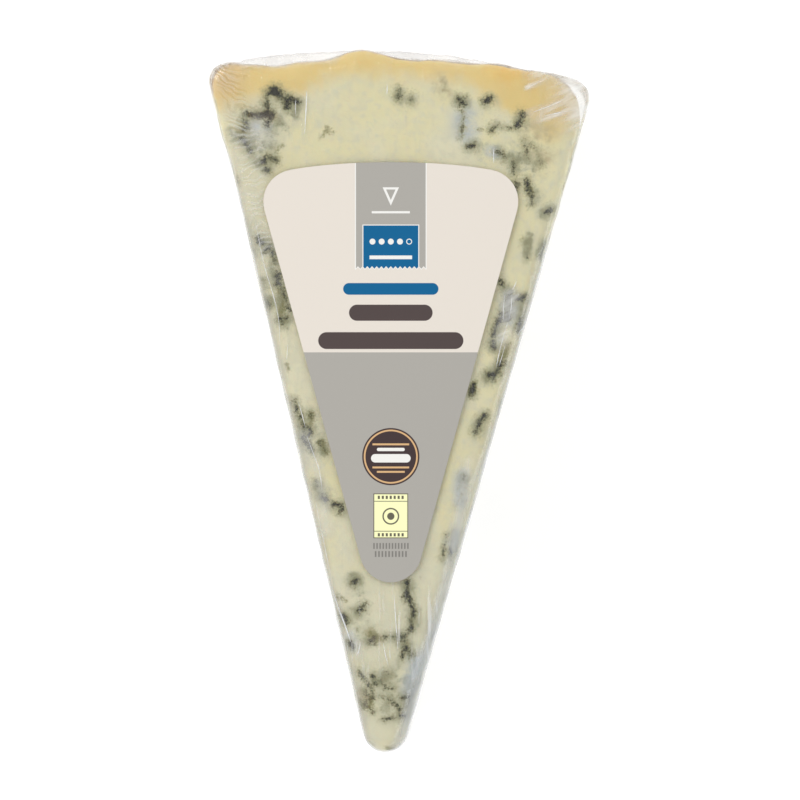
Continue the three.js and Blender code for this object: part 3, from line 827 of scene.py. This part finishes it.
film = cut_wedge("film", FILM_INSETS, FILM_CORNERS)
points = points_of(film)
normals = rows_of(film.data.vertices, "normal")
bearing, _ = wheel_place(points)
rind_share, clear_of_floor = shares_of(points)
flat_share = smoothstep(0.9, 0.99, normals[:, 2])
slack = SLACK * (ripples(points, 7 * MM, 5) - 0.1)
puckers = PUCKERS * ripples(points, 2.6 * MM, 6) * (1 - flat_share)
crust_print = CRUST_PRINT * (ripples(points, 4.5 * MM, 3) - 0.1) * rind_share
lift = (slack * (1 - rind_share) + puckers + crust_print) * clear_of_floor
points += normals * lift[:, None]
settle(points, bearing, rind_share * clear_of_floor)
move_to(film, points)
keep_values(film, "crumple", stain_depth(over_the_rim(points), on_upper_face(CRUMPLES)))

film_skin, shader, wire = new_material("shrink film", 0.14)
place = wire.node("ShaderNodeTexCoord", output=3)
from_wheel = wire.vectors("SUBTRACT", place, (WHEEL.x, WHEEL.y, 0))


def measured_along(wire, direction):
    """A distance in millimetres from the wheel's centre, along a direction."""
    return wire.vectors("DOT_PRODUCT", wire, direction, output=1) / MM


up_left_cut = measured_along(from_wheel, along(LEFT_CUT))
from_left_cut = measured_along(from_wheel, -outward(LEFT_CUT, -1))
from_right_cut = measured_along(from_wheel, -outward(RIGHT_CUT, 1))
up = measured_along(from_wheel, (0, 0, 1))
from_edge = up.least(HEIGHT / MM - up)
waver = place.cloud(4, 2)
patchy = place.cloud(6, 2)
tiny = place.cloud(0.9, 2)
# Pleats run in from the upper left edge, level at first and fanned out towards the corner.
PLEAT_PITCH = 1.05
fan = up_left_cut.rise(86, 104) * 0.8
pleat_line = up_left_cut + from_left_cut * fan + (waver - 0.5) * 7 + tiny * 0.5
pleat_turn = pleat_line * (2 * math.pi / PLEAT_PITCH)
pleat_wave = pleat_turn.maths("SINE", pleat_turn) * 0.5 + 0.5
pleat_reach = (from_left_cut + (waver - 0.5) * 8).rise(5.4, 2.2) * from_left_cut.rise(0.3, 1.6)
pleat_zone = pleat_reach * up_left_cut.rise(70, 82) * from_edge.rise(12, 1) * patchy.rise(0.25, 0.5)
pleats = pleat_zone * pleat_wave
# The pleat crests carry a painted highlight and the hollows a painted shade, as if lit from the upper
# left.
pleat_crest_painted_highlight = pleat_zone * pleat_wave.rise(0.35, 1.0)
pleat_hollow_painted_shade = pleat_zone * pleat_wave.rise(0.42, 0.05)
# Fine streaks run the length of the wedge where the film is pulled hardest. They give a faint relief, and
# their white is a painted highlight.
drawn = wire.vectors("MULTIPLY", place, (1, 0.07, 0.3))
streak = drawn.cloud(0.6, 2).rise(0.52, 0.72)
# Painted shade and reflection: the film is greyish along the upper left edge and silvery along the right
# one.
near_top = up.rise(HEIGHT / MM - 6, HEIGHT / MM - 2)
left_rim_painted_shade = (from_left_cut + (patchy - 0.5) * 2.0).rise(1.5, 0.0) * near_top * up_left_cut.rise(98, 86)
right_reach = from_right_cut + (patchy - 0.5) * 1.8 - up_left_cut.rise(48, 38) * 0.7
right_rim_painted_shade = right_reach.rise(1.5, 0.1) * near_top * up_left_cut.rise(80, 68)
# The corner film is drawn into slanting folds.
SLANT = math.radians(24)
with_folds = measured_along(from_wheel, (math.cos(SLANT), math.sin(SLANT), 0)) * (0.2 * MM)
across_folds = measured_along(from_wheel, (-math.sin(SLANT), math.cos(SLANT), 0)) * MM
folds_place = wire.node("ShaderNodeCombineXYZ", None, {0: with_folds, 1: across_folds})
slanting = folds_place.cloud(1.1, 2).rise(0.36, 0.74)
crumple = wire.attribute("crumple")
height = pleats * 0.000035 + (waver - 0.5) * 0.0004 + (tiny - 0.5) * 0.00005 + streak * 0.00002
bump = wire.bump(height, 1.0)
# It turns milky where it is crumpled or gathered, and elsewhere it is painted white or brown for light and
# shade.
tip_painted_glint = up_left_cut.rise(34, 26) * up_left_cut.rise(18, 24) * near_top * 0.4
at_corner = up_left_cut.rise(94, 99)
# Painted highlight on the pleat crests, painted shade in the corner's hollows, painted sheen on the
# pleated zone.
milk_and_painted_light = pleat_crest_painted_highlight * 0.16 + pleat_hollow_painted_shade * at_corner * 0.16 + pleat_zone * (1 - at_corner) * 0.14
# Painted highlights along the drawn streaks, strongest above the tip.
milk_and_painted_light = milk_and_painted_light + streak * (tip_painted_glint + 0.05) + patchy.rise(0.5, 0.7) * 0.05
milk_and_painted_light = milk_and_painted_light + crumple * (tiny * 0.3 + slanting * from_left_cut.rise(20, 40) * 0.6 + 0.16) * 0.8
# Painted shade and reflection thicken the film along both upper rims.
milk_and_painted_light = milk_and_painted_light + left_rim_painted_shade * (patchy * 0.45 + 0.12) + right_rim_painted_shade * (patchy * 0.5 + 0.1)
# On the sides it carries painted highlights as streaks in patches, and at the rind it is milky where
# gathered round its sealed tail.
level = wire.vectors("MULTIPLY", from_wheel, (1, 1, 0))
reach = wire.vectors("LENGTH", level, output=1) / MM
upright = wire.vectors("MULTIPLY", place, (1, 1, 0.12))
near_seal = abs(up - SEAL_HEIGHT / MM).rise(14, 1)
gathers = upright.cloud(0.8, 2).rise(0.5, 0.72) * near_seal * reach.rise(99, 103)
side_painted_glints = streak * patchy.rise(0.46, 0.64) * 0.4
milk_and_painted_light = milk_and_painted_light + (side_painted_glints + gathers * 0.45) * up.rise(HEIGHT / MM - 3, HEIGHT / MM - 9)
milk_and_painted_light = milk_and_painted_light.least(0.8)
facing = wire.node("ShaderNodeLayerWeight", None, {"Blend": 0.5, "Normal": bump}, 1)
mirror = facing**4.5 * 0.85 + 0.03
covering = (mirror + milk_and_painted_light).least(1.0)
FILM_WHITE = (0.88, 0.87, 0.82, 1)
FILM_RIM_PAINTED_SHADE = (0.46, 0.47, 0.48, 1)
FILM_RIM_PAINTED_REFLECTION = (0.66, 0.68, 0.7, 1)
FILM_SHADE = (0.4, 0.31, 0.2, 1)
# The rims' grey and silvery colours are painted shade and painted reflection.
tint = left_rim_painted_shade.blend(FILM_WHITE, FILM_RIM_PAINTED_SHADE)
tint = right_rim_painted_shade.blend(tint, FILM_RIM_PAINTED_REFLECTION)
# The brown in the corner's pleat hollows is painted shade.
tint = (pleat_hollow_painted_shade * at_corner).rise(0.0, 0.3).blend(tint, FILM_SHADE)
feed(shader, "Base Color", tint)
feed(shader, "Metallic", (1 - milk_and_painted_light * 3).most(0.0))
feed(shader, "Normal", bump)


def see_through(wire, shader, covering):
    """Lets the surface show through a shader where its covering is below 1."""
    clear = wire.node("ShaderNodeBsdfTransparent", None, {"Color": (1, 1, 1, 1)})
    solid = Wire(wire.tree, shader.outputs["BSDF"])
    mixed = wire.node("ShaderNodeMixShader", None, {0: covering, 1: clear, 2: solid})
    wire.tree.links.new(mixed.socket, wire.tree.nodes["Material Output"].inputs["Surface"])


see_through(wire, shader, covering)
film.data.materials.append(film_skin)
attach(film, "root")
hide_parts("wrapped_wedge")

# The creases in the film.
# Where the film had too much slack it shrank into thin standing folds; their white is a painted highlight
# for the light they catch. Each is half its width and the places that it runs through, in millimetres.
CREASE_ENDS = 0.15
CREASE_SCALE = 1.2
CREASES = [
    (0.11, [(-12.7, 42.2), (-12.8, 39.4), (-13.0, 36.3)]),
    (0.07, [(-14.2, 40.9), (-14.3, 39.8), (-14.2, 38.8)]),
    (0.09, [(-1.8, 43.1), (-1.7, 42.4), (-1.8, 41.7)]),
    (0.1, [(12.8, 34.4), (12.7, 33.4), (12.8, 32.3)]),
    (0.08, [(15.9, 16.3), (15.7, 15.6), (15.3, 15.0)]),
    (0.06, [(14.3, 14.4), (14.0, 12.4), (14.1, 10.8)]),
    (0.06, [(15.2, 14.4), (15.3, 12.6), (14.8, 10.8)]),
    (0.09, [(14.7, 10.6), (13.7, 7.6), (13.1, 4.4)]),
    (0.06, [(14.4, 7.6), (13.9, 6.0), (13.5, 4.6)]),
    (0.04, [(-19.9, 25.4), (-18.7, 18.7), (-17.3, 14.6), (-16.3, 10.2), (-16.4, 7.9)]),
    (0.07, [(-15.3, 7.5), (-15.3, 6.4), (-15.5, 5.5)]),
    (0.08, [(-13.9, -0.2), (-13.4, -1.6), (-12.9, -3.7)]),
    (0.06, [(-12.7, -4.9), (-11.7, -7.6), (-10.9, -9.6), (-10.6, -12.2)]),
    (0.06, [(-11.4, -14.0), (-10.2, -20.4), (-9.4, -24.4)]),
    (0.09, [(-9.4, -25.4), (-8.9, -27.3), (-7.2, -31.3), (-6.7, -33.0)]),
    (0.08, [(-2.3, -33.0), (-2.0, -34.9), (-1.6, -36.2)]),
    (0.06, [(-1.4, -33.8), (-1.4, -34.6), (-1.3, -35.4)]),
    (0.14, [(-5.4, -33.0), (-5.5, -34.0), (-5.8, -34.8)]),
    (0.08, [(-0.8, -26.6), (-0.6, -30.2), (-0.3, -34.0)]),
    (0.06, [(17.5, 42.7), (18.5, 43.1), (19.5, 43.7)]),
    (0.08, [(18.2, 39.3), (21.0, 40.2), (23.6, 41.6)]),
    (0.07, [(19.0, 38.6), (21.5, 39.2), (24.2, 39.6)]),
]
creases = on_upper_face(CREASES)
for face in (left_face, right_face):
    creases += wandering_veins(draw, face, ALONG_CUT, (4 * MM, 40 * MM), 14, (0.05, 0.1), (4, 9))

bpy.ops.object.select_all(action="DESELECT")
bpy.ops.curve.primitive_nurbs_path_add()
folds = bpy.context.object
folds.name = "film_creases"
folds.data.splines.clear()
for half_width, path in creases:
    strand = folds.data.splines.new("NURBS")
    strand.points.add(len(path) - 1)
    strand.order_u = 3
    strand.use_endpoint_u = True
    for number, spot in enumerate(path):
        _, on_film, _, _ = film.closest_point_on_mesh(Vector(spot))
        taper = CREASE_ENDS if number in (0, len(path) - 1) else 1
        strand.points[number].co = (*on_film, 1)
        strand.points[number].radius = half_width * taper * CREASE_SCALE
folds.data.bevel_depth = 1
folds.data.bevel_resolution = 1
folds.data.use_fill_caps = True
folds.data.resolution_u = 6
bpy.ops.object.convert(target="MESH")
bpy.ops.object.shade_smooth()

# The folds are white and mostly opaque: a painted highlight.
folded_painted_highlight, shader, wire = new_material("folded film painted highlight", 0.3, Base_Color=(0.95, 0.96, 0.97, 1))
place = wire.node("ShaderNodeTexCoord", output=3)
see_through(wire, shader, place.cloud(1.5, 2).rise(0.35, 0.65) * 0.5 + 0.3)
folds.data.materials.append(folded_painted_highlight)
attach(folds, "root")
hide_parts("wrapped_wedge")

# The film's sealed tail.
# The bag's open end is welded shut across the rind end and cut off just past the weld, so a thin crimped
# fin stands out there. It is milky where the two layers are fused.
TAIL_LEFT = (math.radians(-11.3), 105.9 * MM)
TAIL_START = math.radians(0.9)
TAIL_RIGHT = (math.radians(15.0), 104.3 * MM)
TAIL_TRIM = (math.radians(13.4), 2.0 * MM)
TAIL_ROOT = 102.8 * MM
TAIL_THICKNESS = 0.16 * MM
TAIL_GRID = (260, 9)
TAIL_NOTCH = 1.1 * MM

bpy.ops.object.select_all(action="DESELECT")
bpy.ops.mesh.primitive_grid_add(x_subdivisions=TAIL_GRID[0], y_subdivisions=TAIL_GRID[1], size=1)
tail = bpy.context.object
tail.name = "film_tail"
grid = points_of(tail)
share = grid[:, 0] + 0.5
out = grid[:, 1] + 0.5
bearing = TAIL_LEFT[0] + (TAIL_RIGHT[0] - TAIL_LEFT[0]) * share
reach = TAIL_LEFT[1] + (TAIL_RIGHT[1] - TAIL_LEFT[1]) * share
reach -= np.maximum(bearing - TAIL_TRIM[0], 0) / (TAIL_RIGHT[0] - TAIL_TRIM[0]) * TAIL_TRIM[1]
edge_line = np.stack([share * 0.3, share * 0, share * 0], axis=1)
reach -= smoothstep(TAIL_START, 0, bearing - TAIL_LEFT[0]) * TAIL_NOTCH
reach += 0.16 * MM * ripples(edge_line, 0.02, 6) + 0.1 * MM * ripples(edge_line, 0.005, 7)
radius = TAIL_ROOT + (reach - TAIL_ROOT) * out
wave = 0.5 * MM * ripples(edge_line, 0.022, 8) + 0.08 * MM * ripples(edge_line, 0.006, 9)
across = WHEEL.x + np.sin(bearing) * radius
onwards = WHEEL.y + np.cos(bearing) * radius
points = np.stack([across, onwards, SEAL_HEIGHT + wave * out], axis=1)
move_to(tail, points)
finish_modifier(tail.modifiers.new("two layers", "SOLIDIFY"), thickness=TAIL_THICKNESS, offset=0)
bpy.ops.object.shade_smooth()
keep_values(tail, "out", np.concatenate([out, out])[: len(tail.data.vertices)])

weld, shader, wire = new_material("welded film", 0.25, Base_Color=(0.95, 0.95, 0.95, 1))
place = wire.node("ShaderNodeTexCoord", output=3)
lip = wire.attribute("out").rise(0.86, 1.0)
see_through(wire, shader, place.cloud(3.5, 1).rise(0.3, 0.75) * 0.3 + lip * 0.25 + 0.12)
tail.data.materials.append(weld)
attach(tail, "root")
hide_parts("wrapped_wedge")

# The label.
# Smooth satin paper with round corners, stuck on the film over the upper face. It is printed with a cream
# and a grey field, a ribbon with a pinked end, a blue tab, and plain bars, blocks and marks.
LABEL_MIDDLE = WHEEL.x + 1.0 * MM
LABEL_FOOT = WHEEL.y + 32.5 * MM
LABEL_LEAN = math.radians(15.45)
LABEL_FOOT_ROUND = 4.2 * MM
LABEL_CORNER_Y = WHEEL.y + 87.9 * MM
LABEL_PEAK_Y = WHEEL.y + 91.2 * MM
LABEL_CORNER_ROUND = 4.9 * MM
LABEL_PEAK_ROUND = 13.6 * MM
LABEL_REST = 0.14 * MM
LABEL_THICKNESS = 0.2 * MM
LABEL_CELL = 1.5 * MM


def round_corners(piece, chosen, size, steps):
    """Rounds some corners of a flat sheet."""
    choose(piece, "VERT", chosen)
    bpy.ops.mesh.bevel(offset=size, segments=steps, affect="VERTICES")
    bpy.ops.object.mode_set(mode="OBJECT")


foot_half = LABEL_FOOT_ROUND * (1 - math.sin(LABEL_LEAN)) / math.cos(LABEL_LEAN)
corner_half = foot_half + (LABEL_CORNER_Y - LABEL_FOOT) * math.tan(LABEL_LEAN)
bpy.ops.object.select_all(action="DESELECT")
bpy.ops.mesh.primitive_plane_add(size=1)
label = bpy.context.object
label.name = "label_sheet"
corners = points_of(label)
at_top = corners[:, 1] > 0
corners[:, 0] = LABEL_MIDDLE + np.sign(corners[:, 0]) * np.where(at_top, corner_half, foot_half)
corners[:, 1] = np.where(at_top, LABEL_CORNER_Y, LABEL_FOOT)
move_to(label, corners)
first, second = (corners[[edge.vertices[end] for edge in label.data.edges]] for end in (0, 1))
choose(label, "EDGE", first[:, 1] + second[:, 1] > 2 * LABEL_CORNER_Y - MM)
bpy.ops.mesh.subdivide(number_cuts=1)
bpy.ops.object.mode_set(mode="OBJECT")
outline = points_of(label)
peak = (outline[:, 1] > LABEL_CORNER_Y - MM) & (np.abs(outline[:, 0] - LABEL_MIDDLE) < MM)
outline[peak, 1] = LABEL_PEAK_Y
move_to(label, outline)
round_corners(label, peak, LABEL_PEAK_ROUND, 10)
at_side = np.abs(points_of(label)[:, 0] - LABEL_MIDDLE) > corner_half - NEARLY
round_corners(label, at_side, LABEL_CORNER_ROUND, 10)
at_foot = points_of(label)[:, 1] < LABEL_FOOT + NEARLY
round_corners(label, at_foot, foot_half * 0.98, 12)
outline = points_of(label)
bpy.ops.object.mode_set(mode="EDIT")
for axis, normal in ((0, (1, 0, 0)), (1, (0, 1, 0))):
    for line in np.arange(outline[:, axis].min() + LABEL_CELL, outline[:, axis].max(), LABEL_CELL):
        cut_place = (line, 0, 0) if axis == 0 else (0, line, 0)
        bpy.ops.mesh.select_all(action="SELECT")
        bpy.ops.mesh.bisect(plane_co=cut_place, plane_no=normal)
bpy.ops.object.mode_set(mode="OBJECT")
points = points_of(label)
points[:, 2] = HEIGHT + LABEL_REST - crown_drop(points)
move_to(label, points)
finish_modifier(label.modifiers.new("paper", "SOLIDIFY"), thickness=LABEL_THICKNESS, offset=1)
bpy.ops.object.shade_smooth_by_angle(angle=math.radians(40))

CREAM = paint(231, 222, 210)
GREY = paint(174, 170, 162)
WHITE_LINE = paint(242, 240, 234)
BLUE = paint(2, 98, 146)
BROWN = paint(82, 70, 68)
SEAL_DARK = paint(68, 54, 54)
SEAL_TAN = paint(222, 180, 130)
STAMP_YELLOW = paint(253, 252, 196)
STAMP_INK = paint(104, 100, 84)
FINE_PRINT = paint(112, 109, 104)

printed, shader, wire = new_material("printed paper", 0.5, Specular_IOR_Level=0.2)
place = wire.node("ShaderNodeTexCoord", output=3)
centred = wire.vectors("SUBTRACT", place, (LABEL_MIDDLE, 0, 0))
in_mm = wire.node("ShaderNodeVectorMath", {"operation": "SCALE"}, {0: centred, "Scale": 1 / MM})
flat = wire.vectors("MULTIPLY", in_mm, (1, 1, 0))
x = in_mm.axis(0)
y = in_mm.axis(1)
SOFT = 0.03


def inside(value, low, high):
    """1 where a value lies between two limits, with edges as soft as printer's ink."""
    return value.rise(low - SOFT, low + SOFT) * value.rise(high + SOFT, high - SOFT)


def below(value, limit):
    return value.rise(limit + SOFT, limit - SOFT)


def blocks(half, low, high, pitch, fill):
    """A row of plain upright blocks."""
    turn = abs((x + half).within(pitch) - 0.5)
    return turn.rise(fill / 2 + 0.015, fill / 2 - 0.015) * inside(y, low, high) * below(abs(x), half)


def bar(half, low, high):
    """A plain level bar with round ends."""
    middle = (low + high) / 2
    radius = (high - low) / 2
    past_end = (abs(x) - (half - radius)).most(0.0)
    rise = y - middle
    away = past_end * past_end + rise * rise
    return below(away.maths("SQRT", away), radius)


def rule(half, low, high):
    """A plain level line with square ends."""
    return inside(y, low, high) * below(abs(x), half)


def disc(centre_y, radius):
    away = wire.vectors("DISTANCE", flat, (0, centre_y, 0), output=1)
    return below(away, radius)


def ring(centre_y, radius, hole):
    return disc(centre_y, radius) * (1 - disc(centre_y, hole))


# Places and sizes of the print are in millimetres, from the label's middle line and up the frame.
FIELD_SPLIT = 6.5
RIBBON_HALF = 4.75
RIBBON_END = 17.9
TAB_HALF = 3.75
TAB_TOP = 23.8
TOOTH_PITCH = 0.64
TOOTH_DEPTH = 0.68
colour = below(y, FIELD_SPLIT).blend(CREAM, GREY)
teeth = abs(x.within(TOOTH_PITCH) - 0.5) * TOOTH_DEPTH
ribbon_end = y - teeth
ribbon = below(abs(x), RIBBON_HALF + 0.14) * ribbon_end.rise(RIBBON_END - 0.16, RIBBON_END - 0.12)
colour = ribbon.blend(colour, WHITE_LINE)
ribbon = below(abs(x), RIBBON_HALF) * ribbon_end.rise(RIBBON_END - 0.03, RIBBON_END + 0.03)
colour = ribbon.blend(colour, GREY)
tab = below(abs(x), TAB_HALF + 0.12) * below(y, TAB_TOP + 0.12) * ribbon
colour = tab.blend(colour, WHITE_LINE)
tab = below(abs(x), TAB_HALF) * below(y, TAB_TOP) * ribbon
colour = tab.blend(colour, BLUE)
wedge_edge = y * 0.45 - 11.93 - abs(x)
wedge_mark = wedge_edge.rise(-SOFT, SOFT) * below(y, 29.0)
inner_edge = y * 0.45 - 12.27 - abs(x)
wedge_hole = inner_edge.rise(-SOFT, SOFT) * below(y, 28.7)
colour = (wedge_mark * (1 - wedge_hole)).blend(colour, WHITE_LINE)
colour = rule(2.6, 25.45, 25.75).blend(colour, WHITE_LINE)
# Five pips, the last one hollow, and a line below them.
PIP_PITCH = 1.25
PIP_Y = 21.6
pip_x = ((x + PIP_PITCH / 2).within(PIP_PITCH) - 0.5) * PIP_PITCH
pip_away = abs(pip_x) ** 2.0 + abs(y - PIP_Y) ** 2.0
pips = pip_away.rise(0.42**2, 0.38**2) * below(abs(x), 2.5 * PIP_PITCH)
hollow = pip_away.rise(0.3**2, 0.26**2) * x.rise(1.5 * PIP_PITCH, 1.5 * PIP_PITCH + 0.05)
colour = (pips - hollow).most(0.0).blend(colour, WHITE_LINE)
colour = rule(2.9, 19.2, 19.7).blend(colour, WHITE_LINE)
# Three bars, each with its half length, lower and upper edge and ink.
BARS = [(6.5, 14.35, 15.95, BLUE), (5.7, 10.8, 13.0, BROWN), (9.9, 6.95, 9.25, BROWN)]
for half, low, high, ink in BARS:
    colour = bar(half, low, high).blend(colour, ink)
# A round seal with bars and lines across it.
SEAL_Y = -7.72
colour = disc(SEAL_Y, 3.9).blend(colour, SEAL_DARK)
colour = ring(SEAL_Y, 3.68, 3.46).blend(colour, SEAL_TAN)
for half, low, high in ((1.9, 0.75, 1.2), (2.7, -0.8, 0.35)):
    colour = bar(half, SEAL_Y + low, SEAL_Y + high).blend(colour, WHITE_LINE)
for half, low, high in ((2.5, 1.55, 1.8), (2.5, -1.6, -1.35), (1.9, -2.2, -1.95)):
    colour = rule(half, SEAL_Y + low, SEAL_Y + high).blend(colour, SEAL_TAN)
# A framed stamp with a ring and a dot, and rows of blocks in it and below it.
STAMP_HALF = 2.37
STAMP_LOW = -18.85
STAMP_HIGH = -12.74
STAMP_FRAME = 0.12
DOT_Y = -15.85
colour = rule(STAMP_HALF, STAMP_LOW, STAMP_HIGH).blend(colour, STAMP_INK)
stamp = rule(STAMP_HALF - STAMP_FRAME, STAMP_LOW + STAMP_FRAME, STAMP_HIGH - STAMP_FRAME)
colour = stamp.blend(colour, STAMP_YELLOW)
lines = (inside(y, -13.86, -13.76) + inside(y, -17.94, -17.84)) * stamp
colour = lines.blend(colour, STAMP_INK)
for low, high in ((-13.5, -13.05), (-18.6, -18.15)):
    colour = blocks(1.9, low, high, 0.54, 0.55).blend(colour, STAMP_INK)
colour = ring(DOT_Y, 1.15, 0.95).blend(colour, STAMP_INK)
colour = disc(DOT_Y, 0.5).blend(colour, STAMP_INK)
for half, low, high, pitch in ((2.5, -20.3, -19.5, 0.42), (2.3, -21.4, -20.6, 0.46)):
    colour = (blocks(half, low, high, pitch, 0.5) * 0.75).blend(colour, FINE_PRINT)
# The paper's fibre, in its relief and its gloss.
fibre = place.cloud(0.35, 3, 0.6)
feed(shader, "Base Color", colour)
feed(shader, "Normal", wire.bump(fibre * 0.00001, 0.5))
feed(shader, "Roughness", fibre * 0.1 + 0.42)
label.data.materials.append(printed)
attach(label, "root")
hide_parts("label")

# The studio.
# A white table, a broad light over the left shoulder, a weaker one from the right, and a pale room. The
# camera hangs high over the labelled face, with the rind end at the top of the picture.
PIXELS = 800
PIXEL_SIZE = 3 / 22 * MM
CAMERA_HEIGHT = 2.4
SENSOR = 36
TABLE_GLOW = 0.69
WHITE = (1, 1, 1, 1)
MIDDLE_GREY = (0.42, 0.42, 0.42, 1)
ROOM_LEFT = (0.86, 0.86, 0.86, 1)
ROOM_RIGHT = (0.66, 0.68, 0.71, 1)

bpy.ops.object.select_all(action="DESELECT")
bpy.ops.mesh.primitive_plane_add(size=4, location=(0, 0, -0.2 * MM))
table = bpy.context.object
table.name = "table"
table_top, _, _ = new_material(
    "table", 0.6, Base_Color=MIDDLE_GREY, Emission_Color=WHITE, Emission_Strength=TABLE_GLOW
)
table.data.materials.append(table_top)


def softbox(name, place, size, power):
    """A square light that looks at the cheese."""
    light = bpy.data.lights.new(name, "AREA")
    light.shape = "SQUARE"
    light.size = size
    light.energy = power
    lamp = bpy.data.objects.new(name, light)
    bpy.context.scene.collection.objects.link(lamp)
    lamp.location = place
    aim = Vector((0, 0, HEIGHT)) - Vector(place)
    lamp.rotation_euler = aim.to_track_quat("-Z", "Y").to_euler()


softbox("key", place=(-1.6, 1.2, 2.3), size=1.4, power=18.8)
softbox("fill", place=(2.2, -0.5, 1.9), size=1.4, power=7)

world = bpy.data.worlds.new("studio")
world.use_nodes = True
sky = Wire(world.node_tree)
direction = sky.node("ShaderNodeTexCoord", output=0)
toward_right = direction.axis(0)
toward_back = direction.axis(1)
toward_top = direction.axis(2)
shade = toward_right.rise(-0.9, 0.9).blend(ROOM_LEFT, ROOM_RIGHT)
# Brighter windows stand in the four corners of the room.
windows = abs(toward_right * toward_back).rise(0.3, 0.38)
windows = windows * toward_top.rise(0.06, 0.14) * toward_top.rise(0.6, 0.5)
background = world.node_tree.nodes["Background"]
feed(background, "Color", shade)
feed(background, "Strength", windows * 0.9 + 1)
bpy.context.scene.world = world
bpy.context.scene.view_settings.view_transform = "Standard"

lens = bpy.data.cameras.new("camera")
lens.sensor_width = SENSOR
lens.lens = SENSOR * CAMERA_HEIGHT / (PIXELS * PIXEL_SIZE)
lens.clip_end = 20
camera = bpy.data.objects.new("camera", lens)
bpy.context.scene.collection.objects.link(camera)
camera.location = (0, 0, HEIGHT + CAMERA_HEIGHT)
bpy.context.scene.camera = camera
